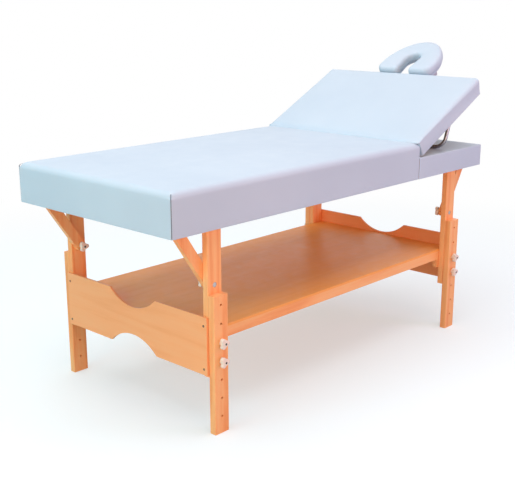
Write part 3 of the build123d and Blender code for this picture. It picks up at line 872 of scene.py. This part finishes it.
def makeStage():
    v = stageLight
    deselect()
    bpy.ops.mesh.primitive_plane_add(size=v["floorSize"], location=(0, 0, -v["floorDrop"]))
    floor = bpy.context.object
    floor.name = "floor"
    material = bpy.data.materials.new("floorWhite")
    material.use_nodes = True
    tree = material.node_tree
    shader = tree.nodes["Principled BSDF"]
    shader.inputs["Base Color"].default_value = v["floorColour"]
    shader.inputs["Roughness"].default_value = 0.9
    glow = tree.nodes.new("ShaderNodeEmission")
    rays = tree.nodes.new("ShaderNodeLightPath")
    lift = put(tree, "ShaderNodeMath", {"operation": "MULTIPLY"})
    tree.links.new(rays.outputs["Is Camera Ray"], lift.inputs[0])
    lift.inputs[1].default_value = v["floorLift"]
    tree.links.new(lift.outputs[0], glow.inputs["Strength"])
    both = tree.nodes.new("ShaderNodeAddShader")
    tree.links.new(shader.outputs[0], both.inputs[0])
    tree.links.new(glow.outputs[0], both.inputs[1])
    white = put(tree, "ShaderNodeEmission", {"Strength": 1.0})
    reach = put(tree, "ShaderNodeVectorMath", {"operation": "LENGTH"})
    tree.links.new(tree.nodes.new("ShaderNodeTexCoord").outputs["Object"], reach.inputs[0])
    fade = {"From Min": v["fadeFrom"], "From Max": v["fadeTo"], "interpolation_type": "SMOOTHSTEP"}
    away = put(tree, "ShaderNodeMapRange", fade, Value=reach.outputs["Value"])
    shown = put(tree, "ShaderNodeMath", {"operation": "MULTIPLY"})
    tree.links.new(away.outputs[0], shown.inputs[0])
    tree.links.new(rays.outputs["Is Camera Ray"], shown.inputs[1])
    mixed = put(tree, "ShaderNodeMixShader")
    tree.links.new(shown.outputs[0], mixed.inputs[0])
    tree.links.new(both.outputs[0], mixed.inputs[1])
    tree.links.new(white.outputs[0], mixed.inputs[2])
    tree.links.new(mixed.outputs[0], tree.nodes["Material Output"].inputs["Surface"])
    floor.data.materials.append(material)


def makeWorld():
    world = bpy.data.worlds.new("studio")
    bpy.context.scene.world = world
    world.use_nodes = True
    tree = world.node_tree
    background = tree.nodes["Background"]
    rays = tree.nodes.new("ShaderNodeLightPath")
    seen = put(tree, "ShaderNodeMix", {"data_type": "FLOAT"})
    mirrored = put(tree, "ShaderNodeMath", {"operation": "MAXIMUM"})
    tree.links.new(rays.outputs["Is Camera Ray"], mirrored.inputs[0])
    tree.links.new(rays.outputs["Is Glossy Ray"], mirrored.inputs[1])
    tree.links.new(mirrored.outputs[0], seen.inputs["Factor"])
    seen.inputs["A"].default_value = stageLight["world"]
    seen.inputs["B"].default_value = 1.0
    tree.links.new(seen.outputs["Result"], background.inputs["Strength"])
    background.inputs["Color"].default_value = (1, 1, 1, 1)


def areaLight(name, place, aim, size, power, colour):
    lamp = bpy.data.lights.new(name, "AREA")
    lamp.shape = "RECTANGLE"
    lamp.size, lamp.size_y = size
    lamp.energy = power
    lamp.color = colour
    holder = bpy.data.objects.new(name, lamp)
    bpy.context.scene.collection.objects.link(holder)
    holder.location = place
    holder.rotation_euler = (Vector(aim) - Vector(place)).to_track_quat("-Z", "Y").to_euler()


# each lamp has its place, its aim, its size, its power and its colour
lamps = {
    "skyPanel": ((-0.6, 0.0, 4.2), (0, 0, 0.6), (5.0, 4.0), 139, (1.0, 0.87, 0.885)),
    "footPanel": ((-5.0, 0.2, 2.4), (0, 0, 0.6), (2.6, 2.4), 76, (0.17, 0.86, 1.0)),
    "nearPanel": ((2.3, -3.8, 1.8), (0.5, 0, 0.5), (2.0, 1.6), 42, (0.92, 0.53, 0.88)),
    "warmPanel": ((-1.2, -3.9, 1.3), (0.0, 0, 0.4), (1.6, 1.0), 29, (1.0, 0.33, 0.20)),
    "lowPanel": ((-4.0, -0.9, 0.7), (0.3, 0, 0.4), (1.6, 0.6), 31, (1.0, 0.37, 0.12)),
}
makeStage()
makeWorld()
for name, values in lamps.items():
    areaLight(name, *values)

photoView = {
    "place": (-2.758028, -2.415586, 1.403948),
    "forward": (0.70253518, 0.66072521, -0.26436058),
    "upward": (0.19382405, 0.1797828, 0.9644223),
    "lens": 64.19,
    "sensor": 36,
    "farthest": 100,
}


def makeCamera():
    v = photoView
    view = bpy.data.cameras.new("photoCamera")
    camera = bpy.data.objects.new("photoCamera", view)
    bpy.context.scene.collection.objects.link(camera)
    bpy.context.scene.camera = camera
    view.lens = v["lens"]
    view.sensor_width = v["sensor"]
    view.sensor_fit = "HORIZONTAL"
    view.clip_end = v["farthest"]
    forward = Vector(v["forward"]).normalized()
    sideways = forward.cross(Vector(v["upward"])).normalized()
    upward = sideways.cross(forward).normalized()
    turn = Matrix((sideways, upward, -forward)).transposed()
    camera.matrix_world = Matrix.Translation(v["place"]) @ turn.to_4x4()


makeCamera()
bpy.context.scene.view_settings.view_transform = "Standard"
bpy.context.view_layer.update()
print("stage and camera set")
